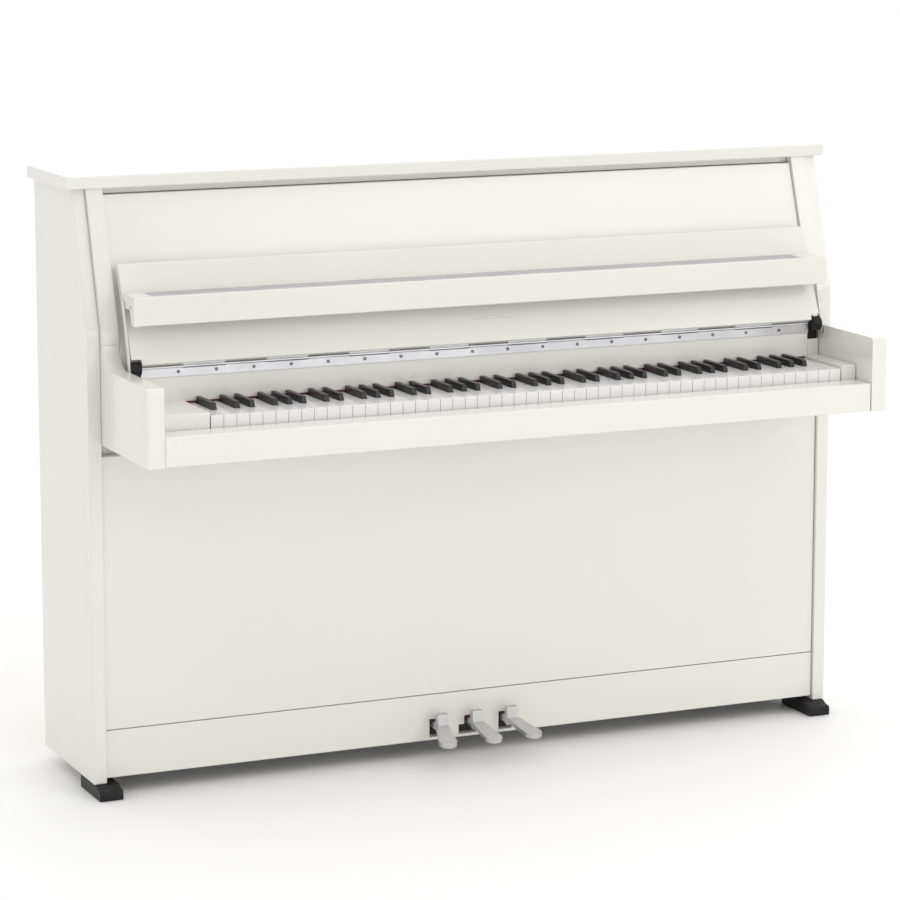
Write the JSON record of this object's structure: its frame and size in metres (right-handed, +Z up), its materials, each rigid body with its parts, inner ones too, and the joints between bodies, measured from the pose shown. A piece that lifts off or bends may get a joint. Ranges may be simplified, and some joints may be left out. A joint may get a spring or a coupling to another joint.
{
  "type": "upright piano",
  "caption": "Compact upright piano in white with a folding fallboard and music ledge, moving lid, knee panel, keys, pedals, action and rear casters.",
  "frame": {"origin": "centre of the overall footprint, on the floor", "axes": "+X to the treble side (the player's right), +Y to the back, +Z up"},
  "size_m": [1.494, 0.54, 1.09],
  "materials": {
    "white_lacquer": "polished white lacquer over wood",
    "softwood": "planed spruce",
    "beech": "satin beech",
    "gold_iron": "gold lacquered cast iron",
    "bright_steel": "polished",
    "steel": "satin",
    "black_plastic": "matte",
    "white_key_plastic": "satin gloss",
    "black_key_plastic": "satin",
    "red_felt": "felt",
    "green_felt": "felt",
    "black_board": "black stained",
    "rubber": "matte"
  },
  "bodies": {
    "case": {"left_side_panel": "white_lacquer", "right_side_panel": "white_lacquer", "left_arm": "white_lacquer", "right_arm": "white_lacquer", "upper_front_panel": "white_lacquer", "case_rails": "white_lacquer", "key_bed": "beech", "key_slip": "white_lacquer", "key_blocks": "white_lacquer", "name_board": "white_lacquer", "name_board_felt": "red_felt", "plinth": "white_lacquer", "bottom_board": "black_board", "back_frame": "softwood", "soundboard": "softwood", "iron_plate": "gold_iron", "pin_block": "beech", "strings_and_pins": "steel", "key_frame": "beech", "action_frame": "gold_iron", "front_feet": "black_plastic", "fallboard_hinge": "bright_steel", "fallboard_dampers": "black_plastic", "caster_forks": "steel", "lid_hinge": "bright_steel", "pedal_brackets": "steel"},
    "top_lid": {"top_lid": "white_lacquer"},
    "knee_panel": {"knee_panel": "white_lacquer"},
    "fallboard": {"fallboard": "white_lacquer"},
    "music_ledge": {"music_ledge": "white_lacquer"},
    "ledge_links": {"ledge_links": "white_lacquer"},
    "soft_pedal": {"soft_pedal": "bright_steel"},
    "mute_pedal": {"mute_pedal": "bright_steel"},
    "damper_pedal": {"damper_pedal": "bright_steel"},
    "soft_trap_lever": {"soft_trap_lever": "beech"},
    "mute_trap_lever": {"mute_trap_lever": "beech"},
    "damper_trap_lever": {"damper_trap_lever": "beech"},
    "soft_rod": {"soft_rod": "beech"},
    "mute_rod": {"mute_rod": "beech"},
    "damper_rod": {"damper_rod": "beech"},
    "hammer_rest_rail": {"hammer_rest_rail": "beech"},
    "mute_rail": {"mute_rail": "green_felt"},
    "dampers": {"dampers": "beech"},
    "caster_wheels": {"caster_wheels": "rubber"},
    "hammers": {"hammers": "beech"},
    "wippens": {"wippens": "beech"},
    "white_keys": {"white_keys": "white_key_plastic"},
    "black_keys": {"black_keys": "black_key_plastic"},
    "key_c4": {"key_c4": "white_key_plastic"},
    "key_d4": {"key_d4": "white_key_plastic"},
    "key_e4": {"key_e4": "white_key_plastic"},
    "key_f4": {"key_f4": "white_key_plastic"},
    "key_g4": {"key_g4": "white_key_plastic"},
    "key_a4": {"key_a4": "white_key_plastic"},
    "key_b4": {"key_b4": "white_key_plastic"},
    "key_c_sharp4": {"key_c_sharp4": "black_key_plastic"},
    "key_d_sharp4": {"key_d_sharp4": "black_key_plastic"},
    "key_f_sharp4": {"key_f_sharp4": "black_key_plastic"},
    "key_g_sharp4": {"key_g_sharp4": "black_key_plastic"},
    "key_a_sharp4": {"key_a_sharp4": "black_key_plastic"}
  },
  "joints": [
    {"name": "lid_hinge_turn", "type": "hinge", "parent": "case", "child": "top_lid", "pos_m": [0, 0.267, 1.068], "axis": [-1, 0, 0], "range_deg": [0, 95]},
    {"name": "knee_panel_tilt", "type": "hinge", "parent": "case", "child": "knee_panel", "pos_m": [0, -0.012, 0.13], "axis": [1, 0, 0], "range_deg": [0, 20]},
    {"name": "fallboard_turn", "type": "hinge", "parent": "case", "child": "fallboard", "pos_m": [0, -0.076, 0.767], "axis": [1, 0, 0], "range_deg": [0, 113.6]},
    {"name": "ledge_turn", "type": "hinge", "parent": "fallboard", "child": "music_ledge", "pos_m": [0, -0.04343, 0.8915], "axis": [1, 0, 0], "range_deg": [-113.6, 0]},
    {"name": "link_turn", "type": "hinge", "parent": "case", "child": "ledge_links", "pos_m": [0, -0.086, 0.755], "axis": [1, 0, 0], "range_deg": [0, 113.6]},
    {"name": "soft_pedal_press", "type": "hinge", "parent": "case", "child": "soft_pedal", "pos_m": [-0.0765, 0.02, 0.062], "axis": [1, 0, 0], "range_deg": [0, 6], "stiffness_Nm_per_rad": 12, "springref_deg": -17.19},
    {"name": "soft_lever_lift", "type": "hinge", "parent": "case", "child": "soft_trap_lever", "pos_m": [0.408, 0.084, 0.09], "axis": [0, 1, 0], "range_deg": [0, 0.84]},
    {"name": "soft_rod_lift", "type": "slide", "parent": "case", "child": "soft_rod", "axis": [0, 0, 1], "range_m": [0, 0.0149]},
    {"name": "mute_pedal_press", "type": "hinge", "parent": "case", "child": "mute_pedal", "pos_m": [-0.007, 0.02, 0.062], "axis": [1, 0, 0], "range_deg": [0, 6], "stiffness_Nm_per_rad": 12, "springref_deg": -17.19},
    {"name": "mute_lever_lift", "type": "hinge", "parent": "case", "child": "mute_trap_lever", "pos_m": [0.408, 0.106, 0.09], "axis": [0, 1, 0], "range_deg": [0, 1.29]},
    {"name": "mute_rod_lift", "type": "slide", "parent": "case", "child": "mute_rod", "axis": [0, 0, 1], "range_m": [0, 0.0236]},
    {"name": "damper_pedal_press", "type": "hinge", "parent": "case", "child": "damper_pedal", "pos_m": [0.0625, 0.02, 0.062], "axis": [1, 0, 0], "range_deg": [0, 6], "stiffness_Nm_per_rad": 12, "springref_deg": -17.19},
    {"name": "damper_lever_lift", "type": "hinge", "parent": "case", "child": "damper_trap_lever", "pos_m": [0.408, 0.062, 0.09], "axis": [0, 1, 0], "range_deg": [0, 0.78]},
    {"name": "damper_rod_lift", "type": "slide", "parent": "case", "child": "damper_rod", "axis": [0, 0, 1], "range_m": [0, 0.0135]},
    {"name": "rest_rail_turn", "type": "hinge", "parent": "case", "child": "hammer_rest_rail", "pos_m": [0, 0.045, 0.77], "axis": [-1, 0, 0], "range_deg": [0, 4]},
    {"name": "mute_rail_drop", "type": "slide", "parent": "case", "child": "mute_rail", "axis": [0, 0, -1], "range_m": [0, 0.0235]},
    {"name": "dampers_turn", "type": "hinge", "parent": "case", "child": "dampers", "pos_m": [0, 0.113, 0.806], "axis": [1, 0, 0], "range_deg": [0, 4.5]},
    {"name": "white_keys_press", "type": "hinge", "parent": "case", "child": "white_keys", "pos_m": [0.035, -0.027, 0.676], "axis": [1, 0, 0], "range_deg": [0, 3.1], "stiffness_Nm_per_rad": 13.5, "springref_deg": -11.46},
    {"name": "black_keys_press", "type": "hinge", "parent": "case", "child": "black_keys", "pos_m": [0.035, -0.027, 0.676], "axis": [1, 0, 0], "range_deg": [0, 4], "stiffness_Nm_per_rad": 9.3, "springref_deg": -11.46},
    {"name": "hammers_turn", "type": "hinge", "parent": "case", "child": "hammers", "pos_m": [0.035, 0.08, 0.8], "axis": [-1, 0, 0], "range_deg": [0, 14]},
    {"name": "wippens_turn", "type": "hinge", "parent": "case", "child": "wippens", "pos_m": [0.035, 0.098, 0.745], "axis": [-1, 0, 0], "range_deg": [0, 6]},
    {"name": "key_c4_press", "type": "hinge", "parent": "case", "child": "key_c4", "pos_m": [0.035, -0.027, 0.676], "axis": [1, 0, 0], "range_deg": [0, 3.1], "stiffness_Nm_per_rad": 0.3, "springref_deg": -11.46},
    {"name": "key_d4_press", "type": "hinge", "parent": "case", "child": "key_d4", "pos_m": [0.035, -0.027, 0.676], "axis": [1, 0, 0], "range_deg": [0, 3.1], "stiffness_Nm_per_rad": 0.3, "springref_deg": -11.46},
    {"name": "key_e4_press", "type": "hinge", "parent": "case", "child": "key_e4", "pos_m": [0.035, -0.027, 0.676], "axis": [1, 0, 0], "range_deg": [0, 3.1], "stiffness_Nm_per_rad": 0.3, "springref_deg": -11.46},
    {"name": "key_f4_press", "type": "hinge", "parent": "case", "child": "key_f4", "pos_m": [0.035, -0.027, 0.676], "axis": [1, 0, 0], "range_deg": [0, 3.1], "stiffness_Nm_per_rad": 0.3, "springref_deg": -11.46},
    {"name": "key_g4_press", "type": "hinge", "parent": "case", "child": "key_g4", "pos_m": [0.035, -0.027, 0.676], "axis": [1, 0, 0], "range_deg": [0, 3.1], "stiffness_Nm_per_rad": 0.3, "springref_deg": -11.46},
    {"name": "key_a4_press", "type": "hinge", "parent": "case", "child": "key_a4", "pos_m": [0.035, -0.027, 0.676], "axis": [1, 0, 0], "range_deg": [0, 3.1], "stiffness_Nm_per_rad": 0.3, "springref_deg": -11.46},
    {"name": "key_b4_press", "type": "hinge", "parent": "case", "child": "key_b4", "pos_m": [0.035, -0.027, 0.676], "axis": [1, 0, 0], "range_deg": [0, 3.1], "stiffness_Nm_per_rad": 0.3, "springref_deg": -11.46},
    {"name": "key_c_sharp4_press", "type": "hinge", "parent": "case", "child": "key_c_sharp4", "pos_m": [0.035, -0.027, 0.676], "axis": [1, 0, 0], "range_deg": [0, 4], "stiffness_Nm_per_rad": 0.3, "springref_deg": -11.46},
    {"name": "key_d_sharp4_press", "type": "hinge", "parent": "case", "child": "key_d_sharp4", "pos_m": [0.035, -0.027, 0.676], "axis": [1, 0, 0], "range_deg": [0, 4], "stiffness_Nm_per_rad": 0.3, "springref_deg": -11.46},
    {"name": "key_f_sharp4_press", "type": "hinge", "parent": "case", "child": "key_f_sharp4", "pos_m": [0.035, -0.027, 0.676], "axis": [1, 0, 0], "range_deg": [0, 4], "stiffness_Nm_per_rad": 0.3, "springref_deg": -11.46},
    {"name": "key_g_sharp4_press", "type": "hinge", "parent": "case", "child": "key_g_sharp4", "pos_m": [0.035, -0.027, 0.676], "axis": [1, 0, 0], "range_deg": [0, 4], "stiffness_Nm_per_rad": 0.3, "springref_deg": -11.46},
    {"name": "key_a_sharp4_press", "type": "hinge", "parent": "case", "child": "key_a_sharp4", "pos_m": [0.035, -0.027, 0.676], "axis": [1, 0, 0], "range_deg": [0, 4], "stiffness_Nm_per_rad": 0.3, "springref_deg": -11.46},
    {"name": "caster_spin", "type": "hinge", "parent": "case", "child": "caster_wheels", "pos_m": [0, 0.225, 0.02], "axis": [1, 0, 0], "continuous": true}
  ],
  "couplings": [
    {"joint": "ledge_turn", "follows": "fallboard_turn", "ratio": -1},
    {"joint": "link_turn", "follows": "fallboard_turn", "ratio": 1},
    {"joint": "soft_lever_lift", "follows": "soft_pedal_press", "ratio": 0.13209},
    {"joint": "soft_rod_lift", "follows": "soft_pedal_press", "m_per_rad": 0.13764},
    {"joint": "mute_lever_lift", "follows": "mute_pedal_press", "ratio": 0.20723},
    {"joint": "mute_rod_lift", "follows": "mute_pedal_press", "m_per_rad": 0.22049},
    {"joint": "damper_lever_lift", "follows": "damper_pedal_press", "ratio": 0.12156},
    {"joint": "damper_rod_lift", "follows": "damper_pedal_press", "m_per_rad": 0.12399},
    {"joint": "rest_rail_turn", "follows": "soft_pedal_press", "ratio": 0.66666},
    {"joint": "mute_rail_drop", "follows": "mute_pedal_press", "m_per_rad": 0.2196},
    {"joint": "dampers_turn", "follows": "damper_pedal_press", "ratio": 0.75},
    {"joint": "hammers_turn", "follows": "white_keys_press", "ratio": 4.5},
    {"joint": "wippens_turn", "follows": "white_keys_press", "ratio": 1.9}
  ]
}
